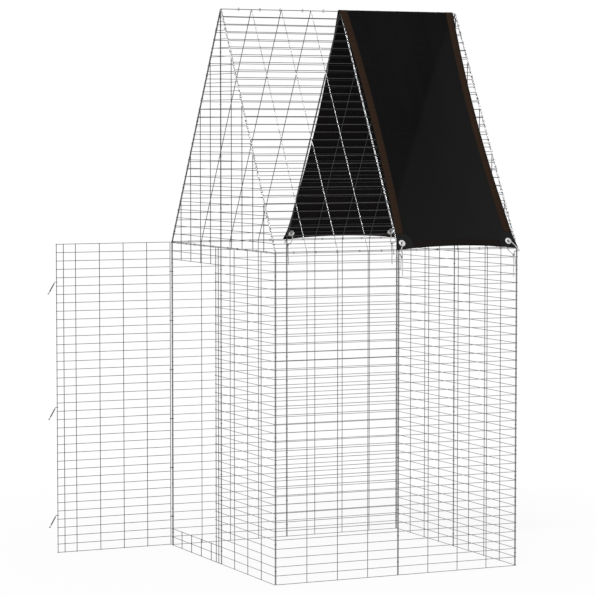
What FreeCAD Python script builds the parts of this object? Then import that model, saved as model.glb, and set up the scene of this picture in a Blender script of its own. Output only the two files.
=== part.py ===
import FreeCAD, Part
import math
import os

# Driving sizes in millimetres and degrees, with counts of rows and columns
driving = {
    # Welded mesh panels
    "panel_width": 532,      # between the two edge wires of a panel
    "wall_columns": 4,       # cells across a wall or roof panel
    "fine_columns": 5,       # cells across the door, the doorway and a half gable
    "row_pitch": 35,
    "wall_rows": 37,
    "roof_row_pitch": 35.4,
    "roof_rows": 31,
    "upright_dia": 3.0,
    "rung_dia": 2.4,
    "joint_gap": 0.6,        # clear space between the edge wires of two neighbours
    "eaves_gap": 1.0,        # clear space between a wall and what stands on it
    "ridge_gap": 3.0,        # between the upper ends of the two slopes
    "verge_gap": 0.1,        # between a gable upright and the sloping wire above it
    "shortest_rung": 20,
    # Doorway, door leaf and its hooks
    "jamb_width": 53,
    "lintel_rows": 2,
    "sill_rows": 2,
    "door_lap": 31,          # how far the closed door reaches past the jamb's first wire
    "door_lift": 2,
    "hinge_offset": 8,       # from the corner post out to the door's hinge wire
    "hinge_wire": 2.0,
    "hinge_play": 0.3,
    "hook_wire": 2.4,
    "hook_play": 0.4,
    "hook_reach": 33,
    "hook_drop": 45,
    "hook_curl": 6,
    # Ring clips that hold the panels together
    "clip_wire": 1.6,
    "clip_play": 0.15,
    "clip_sweep": 325,       # the rest of the turn is the clip's mouth
    "clip_sides": 8,         # flats round a clip's wire
    "clip_edge": 76,         # from a panel's edge to its first clip along a rung
    "clip_pitch": 95,
    "clip_room": 5,          # least distance from a clip to a crossing wire
    # Cover sheet over one half of the roof
    "tarp_inset": 6,
    "tarp_shift": 8.5,       # how far the sheet lies towards the middle of the roof
    "tarp_foot": -2,         # from the eaves line up to the sheet's lower corners
    "tarp_thick": 1.0,
    "tarp_play": 0.3,
    "side_sag": 20,
    "foot_sag": 14,
    "hem_inset": 2,
    "hem_width": 30,
    "hem_thick": 0.6,
    "hem_gap": 0.1,
    "patch_length": 69,
    "eyelet_inset": 19,
    "eyelet_rise": 29,
    "eyelet_hole": 10,
    "eyelet_flange": 29,
    "eyelet_wall": 1.0,
    "eyelet_play": 0.1,
    # Tie cords at the sheet's corners
    "cord_dia": 4,
    "knot_width": 11,
}
clip_first_row = 1
clip_row_step = 3
hinge_first_row = 3
hinge_row_step = 6
hook_rows = {"top": 32, "middle": 17, "bottom": 4}

doc = FreeCAD.newDocument("rabbit_cage")
sheet = doc.addObject("Spreadsheet::Sheet", "sizes")
for line, (alias, number) in enumerate(driving.items(), 1):
    sheet.set(f"A{line}", alias)
    sheet.set(f"B{line}", str(number))
    sheet.setAlias(f"B{line}", alias)
plan = doc.addObject("App::VarSet", "plan")
nodes = []


def derive(name, expression):
    plan.addProperty("App::PropertyFloat", name)
    plan.setExpression(name, expression)


# Bent wire and cord: straight runs joined by tangent arcs as large as the shorter run allows
bend_share = 0.45


def rounded_edges(points):
    edges = []
    start = points[0]
    for before, corner, after in zip(points, points[1:], points[2:]):
        into = corner - before
        out = after - corner
        trim = bend_share * min(into.Length, out.Length)
        turn = into.getAngle(out)
        radius = trim / math.tan(turn / 2)
        arc_start = corner - FreeCAD.Vector(into).normalize() * trim
        arc_end = corner + FreeCAD.Vector(out).normalize() * trim
        to_centre = ((arc_start + arc_end) / 2 - corner).normalize()
        arc_middle = corner + to_centre * (radius / math.cos(turn / 2) - radius)
        edges.append(Part.LineSegment(start, arc_start).toShape())
        edges.append(Part.Arc(arc_start, arc_middle, arc_end).toShape())
        start = arc_end
    edges.append(Part.LineSegment(start, points[-1]).toShape())
    return edges


def swept(name, edges, thickness):
    path = Part.Wire(edges)
    start = edges[0].valueAt(edges[0].FirstParameter)
    heading = edges[0].tangentAt(edges[0].FirstParameter)
    section = Part.Wire(Part.makeCircle(thickness / 2, start, heading))
    shape = path.makePipeShell([section], True, False)
    ideal = math.pi * thickness ** 2 / 4 * path.Length
    radii = [round(edge.Curve.Radius, 1) for edge in edges if hasattr(edge.Curve, "Radius")]
    print(f"{name}: length {path.Length:.1f}, radii {radii}, volume ratio {shape.Volume / ideal:.4f}")
    return shape


# Hook in its own frame: X away from the door's free edge, Y towards the wall. One wire makes an eye round
# the edge wire, a sloping shank, and a curl that reaches in past the middle post.
eye_radius = driving["upright_dia"] / 2 + driving["hook_play"] + driving["hook_wire"] / 2
eye_mouth = math.asin((driving["hook_wire"] + driving["hook_play"]) / eye_radius - 1)
eye_angles = (eye_mouth, math.radians(135), math.radians(270))
eye_points = [FreeCAD.Vector(eye_radius * math.cos(a), eye_radius * math.sin(a), 0) for a in eye_angles]
reach, drop, curl = driving["hook_reach"], driving["hook_drop"], driving["hook_curl"]
hook_route = [
    eye_points[-1],
    FreeCAD.Vector(2 * eye_radius, -eye_radius, 0),
    FreeCAD.Vector(reach, -eye_radius / 2, -drop),
    FreeCAD.Vector(reach + curl, 0, -drop - 0.6 * curl),
    FreeCAD.Vector(reach + 1.3 * curl, curl, -drop - 0.6 * curl),
    FreeCAD.Vector(reach + 0.5 * curl, 2 * curl, -drop - 0.5 * curl),
]
hook_edges = [Part.Arc(*eye_points).toShape()] + rounded_edges(hook_route)
hook_shape = doc.addObject("Part::Feature", "hook_shape")
hook_shape.Shape = swept("door_hook", hook_edges, driving["hook_wire"])

# Sizes that follow from the driving ones
derive("joint", "sizes.upright_dia + sizes.joint_gap")
derive("weld", "(sizes.upright_dia + sizes.rung_dia) / 2")
derive("door_width", "sizes.panel_width - sizes.jamb_width + sizes.door_lap")
derive("half_run", "sizes.panel_width + plan.joint / 2")
derive("wall_top", "sizes.rung_dia + sizes.wall_rows * sizes.row_pitch")
derive("eaves", "plan.wall_top + sizes.eaves_gap")
derive("rafter", "sizes.rung_dia + sizes.roof_rows * sizes.roof_row_pitch")
derive("slope", "acos((plan.half_run - sizes.ridge_gap / 2) / plan.rafter) / 1deg")

# Clip rings: half the distance between the two wires, half a wire, play and half the clip's wire
derive("clip_side", "sizes.clip_play + sizes.clip_wire / 2")
derive("post_ring", "plan.joint / 2 + sizes.upright_dia / 2 + plan.clip_side")
derive("gable_ring", "sizes.eaves_gap / 2 + sizes.rung_dia + plan.clip_side")
derive("purlin_out", "plan.weld * sin(plan.slope) - sizes.rung_dia / 2 * cos(plan.slope)")
derive("purlin_up", "plan.weld * cos(plan.slope) + sizes.rung_dia / 2 * sin(plan.slope)")
derive("eaves_rise", "plan.purlin_up + sizes.eaves_gap + sizes.rung_dia / 2")
derive("eaves_spread", "sqrt((plan.weld - plan.purlin_out) ^ 2 + plan.eaves_rise ^ 2) / 2")
derive("eaves_ring", "plan.eaves_spread + sizes.rung_dia / 2 + plan.clip_side")
derive("ridge_along", "plan.rafter - sizes.rung_dia / 2")
derive("ridge_spread", "plan.half_run - plan.ridge_along * cos(plan.slope) + plan.weld * sin(plan.slope)")
derive("ridge_ring", "plan.ridge_spread + sizes.rung_dia / 2 + plan.clip_side")
derive("ridge_z", "plan.eaves + plan.ridge_along * sin(plan.slope) + plan.weld * cos(plan.slope)")
derive("hinge_spread", "(plan.joint + sizes.hinge_offset) / 2")
derive("hinge_ring", "plan.hinge_spread + sizes.upright_dia / 2 + sizes.hinge_play + sizes.hinge_wire / 2")

# The origin is at the middle of the whole footprint, with the door standing open
derive("hook_tip", f"{hook_shape.Shape.BoundBox.XMax:.3f}")
derive("left_reach", "plan.half_run + plan.joint + sizes.hinge_offset + plan.door_width + plan.hook_tip")
derive("right_reach", "plan.half_run + plan.joint + plan.weld + plan.gable_ring + sizes.clip_wire / 2")
derive("eaves_out", "(plan.weld + plan.purlin_out) / 2")
derive("front_reach", "plan.eaves_out + plan.eaves_ring + sizes.clip_wire / 2")
derive("back_reach", "max(plan.front_reach; plan.hinge_ring + sizes.hinge_wire / 2)")
derive("x_mid", "(plan.left_reach - plan.right_reach) / 2")
derive("y_mid", "(plan.front_reach - plan.back_reach) / 2")
derive("x_left", "plan.x_mid - plan.half_run - plan.joint")
derive("x_right", "plan.x_mid + plan.half_run + plan.joint")
derive("y_front", "plan.y_mid - plan.half_run")
derive("y_back", "plan.y_mid + plan.half_run")

# Cover sheet: it bends round the ridge clips and lies parallel to the slopes
derive("bend", "plan.ridge_ring + sizes.clip_wire / 2 + sizes.tarp_play")
derive("tarp_in", "plan.weld - plan.ridge_spread * sin(plan.slope) + plan.bend")
derive("tarp_top", "plan.ridge_along + plan.ridge_spread * cos(plan.slope)")
derive("tarp_width", "sizes.panel_width - 2 * sizes.tarp_inset")
derive("tarp_drop", "plan.tarp_top - sizes.tarp_foot")
derive("side_arc", "(plan.tarp_drop ^ 2 / 4 + sizes.side_sag ^ 2) / (2 * sizes.side_sag)")
derive("foot_arc", "(plan.tarp_width ^ 2 / 4 + sizes.foot_sag ^ 2) / (2 * sizes.foot_sag)")
derive("hem_in", "plan.tarp_in + sizes.tarp_thick + sizes.hem_gap")
doc.recompute()

# Yaw, pitch and roll that point a cylinder's axis along X, Y or Z
headings = {"x": ("0", "90", "0"), "y": ("0", "0", "-90"), "z": ("0", "0", "0")}

# Left lower corner of each panel's place seen from outside, and its turn about the vertical
spots = {
    "front_left": ("plan.x_mid - plan.half_run", "plan.y_front", "0"),
    "front_right": ("plan.x_mid + plan.joint / 2", "plan.y_front", "0"),
    "right_front": ("plan.x_right", "plan.y_front", "90"),
    "right_back": ("plan.x_right", "plan.y_mid + plan.joint / 2", "90"),
    "back_right": ("plan.x_mid + plan.half_run", "plan.y_back", "180"),
    "back_left": ("plan.x_mid - plan.joint / 2", "plan.y_back", "180"),
    "left_back": ("plan.x_left", "plan.y_back", "270"),
    "left_front": ("plan.x_left", "plan.y_mid - plan.joint / 2", "270"),
}
roof_spots = ["front_left", "front_right", "back_right", "back_left"]
gable_spots = {
    "right_front": "rising",
    "right_back": "falling",
    "left_back": "rising",
    "left_front": "falling",
}


def place(item, x="0", y="0", z="0", yaw="0", pitch="0", roll="0"):
    item.setExpression("Placement", f"placement(vector({x}; {y}; {z}); rotation({yaw}; {pitch}; {roll}))")
    return item


def rod(name, thickness, length, x, y, z, turn):
    item = doc.addObject("Part::Cylinder", name)
    item.setExpression("Radius", f"({thickness}) / 2")
    item.setExpression("Height", length)
    return place(item, x, y, z, *turn)


def box(name, length, width, height, x, y, z):
    item = doc.addObject("Part::Box", name)
    item.setExpression("Length", length)
    item.setExpression("Width", width)
    item.setExpression("Height", height)
    return place(item, x, y, z)


def clip(name, radius, thickness):
    # An open ring about Z, turned from a small polygon in the XZ plane
    outline = doc.addObject("Part::RegularPolygon", f"{name}_outline")
    outline.setExpression("Polygon", "sizes.clip_sides")
    outline.setExpression("Circumradius", f"{thickness} / 2")
    place(outline, x=radius, roll="90")
    item = doc.addObject("Part::Revolution", name)
    item.Source = outline
    item.Axis = FreeCAD.Vector(0, 0, 1)
    item.Solid = True
    item.setExpression("Angle", "sizes.clip_sweep")
    return item


def ball(name, thickness, x, y, z):
    item = doc.addObject("Part::Sphere", name)
    item.setExpression("Radius", f"{thickness} / 2")
    return place(item, x, y, z)


def fuse(name, pieces):
    item = doc.addObject("Part::MultiFuse", name)
    item.Shapes = pieces
    item.Refine = True
    return item


def cut(name, base, tools):
    for count, tool in enumerate(tools):
        item = doc.addObject("Part::Cut", f"{name}_{count}")
        item.Base = base
        item.Tool = tool
        base = item
    return base


def group(name, pieces, **where):
    item = doc.addObject("Part::Compound", name)
    item.Links = pieces
    return place(item, **where)


def keep(item, name):
    item.Label = name
    nodes.append(item)
    return item


def at_spot(name, **where):
    x, y, yaw = spots[name]
    return dict(x=x, y=y, yaw=yaw, **where)


def free_places(nominals, crossings):
    # Moves each nominal place by whole millimetres until no crossing wire is near it
    room = driving["clip_room"]
    farthest = int(driving["row_pitch"])
    shifts = sorted(range(-farthest, farthest + 1), key=abs)
    places = []
    for nominal in nominals:
        clear = [nominal + s for s in shifts if all(abs(nominal + s - c) >= room for c in crossings)]
        places.append(clear[0])
    return places


# Welded mesh in a panel's own frame: X across, Z up, rungs on the outer side at -Y
def uprights(prefix, places, length, z="0"):
    wires = []
    for count, x in enumerate(places):
        wires.append(rod(f"{prefix}_upright_{count}", "sizes.upright_dia", length, x, "0", z, headings["z"]))
    return wires


def rungs(prefix, rows, pitch, left, right):
    wires = []
    length = f"({right}) - ({left}) + sizes.upright_dia"
    start = f"({left}) - sizes.upright_dia / 2"
    for row in rows:
        name = f"{prefix}_rung_{row}"
        height = f"sizes.rung_dia / 2 + {row} * {pitch}"
        wires.append(rod(name, "sizes.rung_dia", length, start, "-plan.weld", height, headings["x"]))
    return wires


def columns(count, first=0, last=None):
    last = count if last is None else last
    return [f"{c} * sizes.panel_width / {count}" for c in range(first, last + 1)]


wall_rows = range(driving["wall_rows"] + 1)
roof_rows = range(driving["roof_rows"] + 1)
fine = driving["fine_columns"]
panel_edges = ("0", "sizes.panel_width")

# Seven plain wall panels
wall_mesh = uprights("wall", columns(driving["wall_columns"]), "plan.wall_top")
wall_mesh += rungs("wall", wall_rows, "sizes.row_pitch", *panel_edges)
for spot in spots:
    if spot != "left_back":
        keep(group(f"wall_{spot}", wall_mesh, **at_spot(spot)), f"wall_{spot}")

# Doorway panel: hinge post, lintel, sill and a narrow jamb with short rungs
jamb_edge = "sizes.panel_width - sizes.jamb_width"
jamb_middle = "sizes.panel_width - sizes.jamb_width / 2"
sill_last = driving["sill_rows"]
lintel_first = driving["wall_rows"] - driving["lintel_rows"]
full_rows = [row for row in wall_rows if row <= sill_last or row >= lintel_first]
short_rows = [row for row in wall_rows if sill_last < row < lintel_first]
frame_mesh = uprights("frame", ["0", jamb_edge, jamb_middle, "sizes.panel_width"], "plan.wall_top")
sill_height = "sizes.rung_dia + sizes.sill_rows * sizes.row_pitch"
lintel_height = "sizes.rung_dia + sizes.lintel_rows * sizes.row_pitch"
between = columns(fine, 1, fine - 1)
frame_mesh += uprights("sill", between, sill_height)
frame_mesh += uprights("lintel", between, lintel_height, f"{lintel_first} * sizes.row_pitch")
frame_mesh += rungs("frame", full_rows, "sizes.row_pitch", *panel_edges)
frame_mesh += rungs("jamb", short_rows, "sizes.row_pitch", jamb_edge, "sizes.panel_width")
keep(group("door_frame", frame_mesh, **at_spot("left_back")), "door_frame")

# Door leaf, standing open square to its doorway
leaf_mesh = uprights("leaf", columns(fine, 0, fine - 1) + [jamb_edge, "plan.door_width"], "plan.wall_top")
leaf_mesh += rungs("leaf", wall_rows, "sizes.row_pitch", "0", "plan.door_width")
hinge_x = "plan.x_left - sizes.hinge_offset"
door_place = dict(y="plan.y_back", yaw="180")
keep(group("door_leaf", leaf_mesh, x=hinge_x, z="sizes.door_lift", **door_place), "door_leaf")

# Hooks on the door's free edge
for name, row in hook_rows.items():
    height = f"sizes.door_lift + sizes.rung_dia / 2 + ({row} + 0.5) * sizes.row_pitch"
    hook = group(f"door_hook_{name}", [hook_shape], x=f"{hinge_x} - plan.door_width", z=height, **door_place)
    keep(hook, f"door_hook_{name}")

# Roof panels, tipped back on the wall tops
roof_lean = dict(z="plan.eaves", roll="plan.slope - 90")
roof_mesh = uprights("roof", columns(driving["wall_columns"]), "plan.rafter")
roof_mesh += rungs("roof", roof_rows, "sizes.roof_row_pitch", *panel_edges)
for spot in roof_spots:
    keep(group(f"roof_{spot}", roof_mesh, **at_spot(spot, **roof_lean)), f"roof_{spot}")

# Half gables: uprights end under the sloping verge wire, rungs end on it
gable_reach = (driving["panel_width"] - driving["shortest_rung"]) * math.tan(math.radians(plan.slope))
gable_rows = range(int(gable_reach // driving["row_pitch"]) + 1)


def gable_mesh(hand):
    rising = hand == "rising"
    wires = []
    for column in columns(fine, 1, fine):
        x = column if rising else f"sizes.panel_width - {column}"
        inner = f"({column} - sizes.upright_dia / 2) * tan(plan.slope)"
        length = f"{inner} - sizes.upright_dia / 2 / cos(plan.slope) - sizes.verge_gap"
        wires += uprights(f"gable_{hand}_{len(wires)}", [x], length)
    for row in gable_rows:
        height = f"(sizes.rung_dia / 2 + {row} * sizes.row_pitch)"
        start = f"({height} / tan(plan.slope) + sizes.upright_dia / 2 * (1 - 1 / sin(plan.slope)))"
        left, right = (start, "sizes.panel_width") if rising else ("0", f"sizes.panel_width - {start}")
        wires += rungs(f"gable_{hand}", [row], "sizes.row_pitch", left, right)
    lean = "90 - plan.slope" if rising else "plan.slope - 90"
    foot = "0" if rising else "sizes.panel_width"
    wires.append(rod(f"verge_{hand}", "sizes.upright_dia", "plan.rafter", foot, "0", "0", ("0", lean, "0")))
    return wires


half_gables = {hand: gable_mesh(hand) for hand in ("rising", "falling")}
for spot, hand in gable_spots.items():
    keep(group(f"gable_{spot}", half_gables[hand], **at_spot(spot, z="plan.eaves")), f"gable_{spot}")


# Clip stacks along an upright joint, at half-row heights
def post_stack(prefix, one_clip, rows):
    clips = []
    for row in rows:
        height = f"sizes.rung_dia / 2 + ({row} + 0.5) * sizes.row_pitch"
        clips.append(group(f"{prefix}_{row}", [one_clip], z=height))
    return clips


def clip_node(name, stack, places):
    stacks = []
    for count, where in enumerate(places):
        stacks.append(group(f"{name}_{count}", stack, **where))
    keep(group(name, stacks), name)


clip_rows = range(clip_first_row, driving["wall_rows"], clip_row_step)
corner_x = ["plan.x_mid - plan.half_run - plan.joint / 2", "plan.x_mid + plan.half_run + plan.joint / 2"]
corner_y = ["plan.y_front", "plan.y_back"]
post_clip = clip("post_clip", "plan.post_ring", "sizes.clip_wire")
wall_stack = post_stack("wall_clip", post_clip, clip_rows)
clip_node("corner_clips", wall_stack, [dict(x=x, y=y) for x in corner_x for y in corner_y])
clip_node("wall_joint_clips", wall_stack, [
    dict(x="plan.x_mid", y="plan.y_front"),
    dict(x="plan.x_mid", y="plan.y_back"),
    dict(x="plan.x_left", y="plan.y_mid"),
    dict(x="plan.x_right", y="plan.y_mid"),
])
hinge_rows = range(hinge_first_row, driving["wall_rows"], hinge_row_step)
hinge_ring = clip("hinge_ring", "plan.hinge_ring", "sizes.hinge_wire")
hinge_stack = post_stack("door_hinge", hinge_ring, hinge_rows)
hinge_centre = "plan.x_left + (plan.joint - sizes.hinge_offset) / 2"
clip_node("door_hinge_rings", hinge_stack, [dict(x=hinge_centre, y="plan.y_back")])
gable_joint_rows = range(clip_first_row, len(gable_rows) - 1, clip_row_step)
gable_joint_stack = post_stack("gable_joint_clip", post_clip, gable_joint_rows)
clip_node("gable_joint_clips", gable_joint_stack, [
    dict(x="plan.x_left", y="plan.y_mid", z="plan.eaves"),
    dict(x="plan.x_right", y="plan.y_mid", z="plan.eaves"),
])

# Clips along the rafters, clear of both the roof's rungs and the gable's
lean_pitch = driving["row_pitch"] / math.sin(math.radians(plan.slope))
rafter_crossings = [driving["rung_dia"] / 2 + row * driving["roof_row_pitch"] for row in roof_rows]
rung_share = driving["rung_dia"] / 2 / driving["row_pitch"]
rafter_crossings += [(row + rung_share) * lean_pitch for row in gable_rows]
rafter_step = clip_row_step * driving["roof_row_pitch"]
rafter_clip_count = driving["roof_rows"] // clip_row_step
rafter_nominals = [(count + 0.5) * rafter_step for count in range(rafter_clip_count)]
rafter_stack = []
for count, along in enumerate(free_places(rafter_nominals, rafter_crossings)):
    rafter_stack.append(group(f"rafter_clip_{count}", [post_clip], z=str(along)))


def on_slopes(x):
    sides = (("plan.y_front", "0"), ("plan.y_back", "180"))
    return [dict(x=x, y=y, yaw=yaw, **roof_lean) for y, yaw in sides]


clip_node("verge_clips", rafter_stack, on_slopes(corner_x[0]) + on_slopes(corner_x[1]))
clip_node("roof_joint_clips", rafter_stack, on_slopes("plan.x_mid"))

# Clips along the rungs where a panel stands on another, clear of both panels' uprights
width = driving["panel_width"]
crossings = [width * c / count for count in (driving["wall_columns"], fine) for c in range(count + 1)]
clip_count = int((width - driving["clip_edge"]) // driving["clip_pitch"]) + 1
clip_nominals = [driving["clip_edge"] + count * driving["clip_pitch"] for count in range(clip_count)]
clip_places = free_places(clip_nominals, crossings)


def rung_stack(prefix, radius, y, z):
    one_clip = clip(prefix, radius, "sizes.clip_wire")
    yaw, pitch, roll = headings["x"]
    clips = []
    for count, x in enumerate(clip_places):
        where = dict(x=str(x), y=y, z=z, yaw=yaw, pitch=pitch, roll=roll)
        clips.append(group(f"{prefix}_{count}", [one_clip], **where))
    return clips


eaves_z = "plan.wall_top - sizes.rung_dia / 2 + plan.eaves_rise / 2"
eaves_stack = rung_stack("eaves_clip", "plan.eaves_ring", "-plan.eaves_out", eaves_z)
clip_node("eaves_clips", eaves_stack, [at_spot(spot) for spot in roof_spots])
gable_stack = rung_stack("gable_clip", "plan.gable_ring", "-plan.weld", "plan.wall_top + sizes.eaves_gap / 2")
clip_node("gable_clips", gable_stack, [at_spot(spot) for spot in gable_spots])
ridge_stack = rung_stack("ridge_clip", "plan.ridge_ring", "plan.half_run", "plan.ridge_z")
clip_node("ridge_clips", ridge_stack, [at_spot("front_left"), at_spot("front_right")])

# Cover sheet over the right half of both slopes, with hollowed edges and corner eyelets
tool_reach = 60


def through(name, radius, x, z):
    return rod(name, f"2 * ({radius})", str(2 * tool_reach), x, str(-tool_reach), z, headings["y"])


low_edge = "sizes.tarp_inset"
high_edge = "(sizes.panel_width - sizes.tarp_inset)"
arc_centres = {"low": f"{low_edge} + sizes.side_sag - plan.side_arc",
               "high": f"{high_edge} - sizes.side_sag + plan.side_arc"}
arc_height = "sizes.tarp_foot + plan.tarp_drop / 2"
eyelet_x = {"low": f"{low_edge} + sizes.eyelet_inset", "high": f"{high_edge} - sizes.eyelet_inset"}
eyelet_z = "sizes.tarp_foot + sizes.eyelet_rise"
barrel = "sizes.eyelet_hole / 2 + sizes.eyelet_wall"
slope_blank = box("slope_blank", "plan.tarp_width", "sizes.tarp_thick", "plan.tarp_drop",
                  low_edge, "-plan.tarp_in - sizes.tarp_thick", "sizes.tarp_foot")
sheet_tools = [through("foot_hollow", "plan.foot_arc", "sizes.panel_width / 2",
                       "sizes.tarp_foot + sizes.foot_sag - plan.foot_arc")]
for side in ("low", "high"):
    sheet_tools.append(through(f"{side}_hollow", "plan.side_arc", arc_centres[side], arc_height))
    sheet_tools.append(through(f"{side}_hole", f"{barrel} + sizes.eyelet_play", eyelet_x[side], eyelet_z))
slope_sheet = cut("slope_sheet", slope_blank, sheet_tools)


def ridge_bend(name, inner, thickness, start, length):
    # A piece of round wall about the ridge, as wide as the two slopes turn
    where = (start, "plan.y_mid", "plan.ridge_z", ("90", "plan.slope - 90", "90"))
    outside = rod(f"{name}_outside", f"2 * ({inner} + {thickness})", length, *where)
    outside.setExpression("Angle", "2 * plan.slope")
    inside = rod(f"{name}_inside", f"2 * ({inner})", length, *where)
    return cut(name, outside, [inside])


def on_sheet(spot):
    where = at_spot(spot, **roof_lean)
    where["x"] += " - sizes.tarp_shift"
    return where


sheet_left = "plan.x_mid + plan.joint / 2 + sizes.tarp_inset - sizes.tarp_shift"
keep(fuse("tarp_sheet", [
    group("sheet_front", [slope_sheet], **on_sheet("front_right")),
    group("sheet_back", [slope_sheet], **on_sheet("back_right")),
    ridge_bend("sheet_bend", "plan.bend", "sizes.tarp_thick", sheet_left, "plan.tarp_width"),
]), "tarp_sheet")

# Hem bands that follow the hollowed side edges from corner patch to corner patch
hem_strips = {}
hem_inner = "plan.side_arc + sizes.hem_inset"
hem_drop = "plan.tarp_drop - sizes.patch_length"
for side, centre in arc_centres.items():
    band_inside = through(f"{side}_band_inside", hem_inner, centre, arc_height)
    band_outside = through(f"{side}_band_outside", f"{hem_inner} + sizes.hem_width", centre, arc_height)
    band = cut(f"{side}_band", band_outside, [band_inside])
    window = box(f"{side}_window", "plan.tarp_width", "sizes.hem_thick", hem_drop,
                 low_edge, "-plan.hem_in - sizes.hem_thick", "sizes.tarp_foot + sizes.patch_length")
    strip = doc.addObject("Part::Common", f"{side}_strip")
    strip.Base = window
    strip.Tool = band
    hem_strips[side] = strip
hem_starts = {"left": f"{sheet_left} + sizes.hem_inset",
              "right": f"{sheet_left} + plan.tarp_width - sizes.hem_inset - sizes.hem_width"}
hem_sides = {"left": ("low", "high"), "right": ("high", "low")}
for name, (front_side, back_side) in hem_sides.items():
    keep(fuse(f"tarp_hem_{name}", [
        group(f"hem_{name}_front", [hem_strips[front_side]], **on_sheet("front_right")),
        group(f"hem_{name}_back", [hem_strips[back_side]], **on_sheet("back_right")),
        ridge_bend(f"hem_{name}_bend", "plan.bend + sizes.tarp_thick + sizes.hem_gap", "sizes.hem_thick",
                   hem_starts[name], "sizes.hem_width"),
    ]), f"tarp_hem_{name}")

# Eyelets: a flange on each face of the sheet, joined by a barrel through it
flange_in = "sizes.tarp_thick / 2 + sizes.eyelet_play"
half_eyelet = f"({flange_in} + sizes.eyelet_wall)"
eyelet_start = ("0", f"-{half_eyelet}", "0", headings["y"])
eyelet_solid = fuse("eyelet_solid", [
    rod("eyelet_outer", "sizes.eyelet_flange", "sizes.eyelet_wall", *eyelet_start),
    rod("eyelet_inner", "sizes.eyelet_flange", "sizes.eyelet_wall", "0", flange_in, "0", headings["y"]),
    rod("eyelet_barrel", f"2 * ({barrel})", f"2 * {half_eyelet}", *eyelet_start),
])
eyelet_shape = cut("eyelet_shape", eyelet_solid, [through("eyelet_bore", "sizes.eyelet_hole / 2", "0", "0")])
eyelet_y = "-plan.tarp_in - sizes.tarp_thick / 2"
eyelets = {}
for side, x in eyelet_x.items():
    eyelets[side] = group(f"eyelet_{side}", [eyelet_shape], x=x, y=eyelet_y, z=eyelet_z)
eyelet_corners = {
    "front_left": ("low", "front_right"),
    "front_right": ("high", "front_right"),
    "back_right": ("low", "back_right"),
    "back_left": ("high", "back_right"),
}
for corner, (side, spot) in eyelet_corners.items():
    keep(group(f"eyelet_{corner}", [eyelets[side]], **on_sheet(spot)), f"eyelet_{corner}")
doc.recompute()

# Tie cords, by points: towards the eyelet from the post, outwards from the wall, up from the wall's top.
# A loop leaves its knot, goes round the post, up over the sheet, through the eyelet and down behind it.
tie_routes = {
    "left": {
        "loop": [
            (8.5, 5.2, -21.5), (10, -4, -17), (4, -10.5, -14), (-6, -8.5, -13), (-10, 0.5, -12),
            (-6, 9.6, -10), (3, 11, -2.5), (9.5, 9, 11), (13.8, 6, 22.5), (18.3, -1, 31.3),
            (18.3, -12.9, 24.7), (20, -19, 11), (19.5, -11, -5), (17, 0, -16), (12.4, 7.8, -21.6),
        ],
        "long_tail": [
            (10.4, 10.5, -28.5), (12, 11.5, -46), (10.5, 10.5, -66), (13, 9.5, -88), (11.5, 9, -109),
        ],
        "short_tail": [(5.8, 10.5, -28.5), (3.5, 12, -42), (4.5, 11, -58), (1.5, 10, -73.5)],
        "knot": (8, 10, -24),
    },
    "right": {
        "loop": [
            (15.2, 7.4, -24), (10.5, -3, -18), (3.5, -10.5, -14), (-6, -8.5, -12.5), (-10.5, 0.5, -11.5),
            (-7, 9.6, -9), (2, 11.2, -1.5), (13, 9, 11), (26, 4, 25), (35.3, -1, 31.3), (35.3, -12.9, 24.7),
            (36.8, -19, 11), (35.5, -10.5, -5), (30.5, 1.5, -16.5), (23.6, 8, -23.2),
        ],
        "long_tail": [
            (21.8, 10.5, -30.5), (20.5, 11.5, -49), (18, 10.5, -70), (20, 9.5, -94), (18.5, 9, -117),
        ],
        "short_tail": [(16.8, 10.5, -30.5), (13, 12, -44), (12.5, 11, -60), (9.5, 10, -75.5)],
        "knot": (19.5, 10, -26),
    },
}


def cord(name, points):
    item = doc.addObject("Part::Feature", name)
    item.Shape = swept(name, rounded_edges(points), driving["cord_dia"])
    keep(item, name)


# Route, post, side of the post that the eyelet is on, wall plane and outward direction of each tie
mid_post = plan.x_mid
end_post = plan.x_mid + plan.half_run + plan.joint / 2
ties = {
    "front_left": ("left", mid_post, 1, plan.y_front, -1),
    "front_right": ("right", end_post, -1, plan.y_front, -1),
    "back_left": ("left", mid_post, 1, plan.y_back, 1),
    "back_right": ("right", end_post, -1, plan.y_back, 1),
}


for corner, (hand, post, side, wall, outward) in ties.items():
    def in_place(t, o, up):
        return FreeCAD.Vector(post + side * t, wall + outward * o, plan.wall_top + up)

    for part in ("loop", "long_tail", "short_tail"):
        cord(f"tie_{part}_{corner}", [in_place(*point) for point in tie_routes[hand][part]])
    centre = [str(value) for value in in_place(*tie_routes[hand]["knot"])]
    keep(ball(f"tie_knot_{corner}", "sizes.knot_width", *centre), f"tie_knot_{corner}")
doc.recompute()

# Every object is checked before any file is written
for item in doc.Objects:
    if "Invalid" in item.State or "Error" in item.State:
        raise RuntimeError(f"{item.Name} failed: {item.State}")
for item in nodes:
    if item.Shape.isNull() or not item.Shape.isValid():
        raise RuntimeError(f"{item.Label} has a bad shape")

os.makedirs("parts", exist_ok=True)
for item in nodes:
    item.Shape.exportStep(f"parts/{item.Label}.step")
print(f"{len(nodes)} nodes, {sum(len(item.Shape.Solids) for item in nodes)} solids")
whole = Part.makeCompound([item.Shape for item in nodes if not item.Label.startswith("tie_")])
print("box without the cords", whole.BoundBox)
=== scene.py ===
import math
import bpy
import numpy as np
from mathutils import Matrix, Vector


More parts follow.
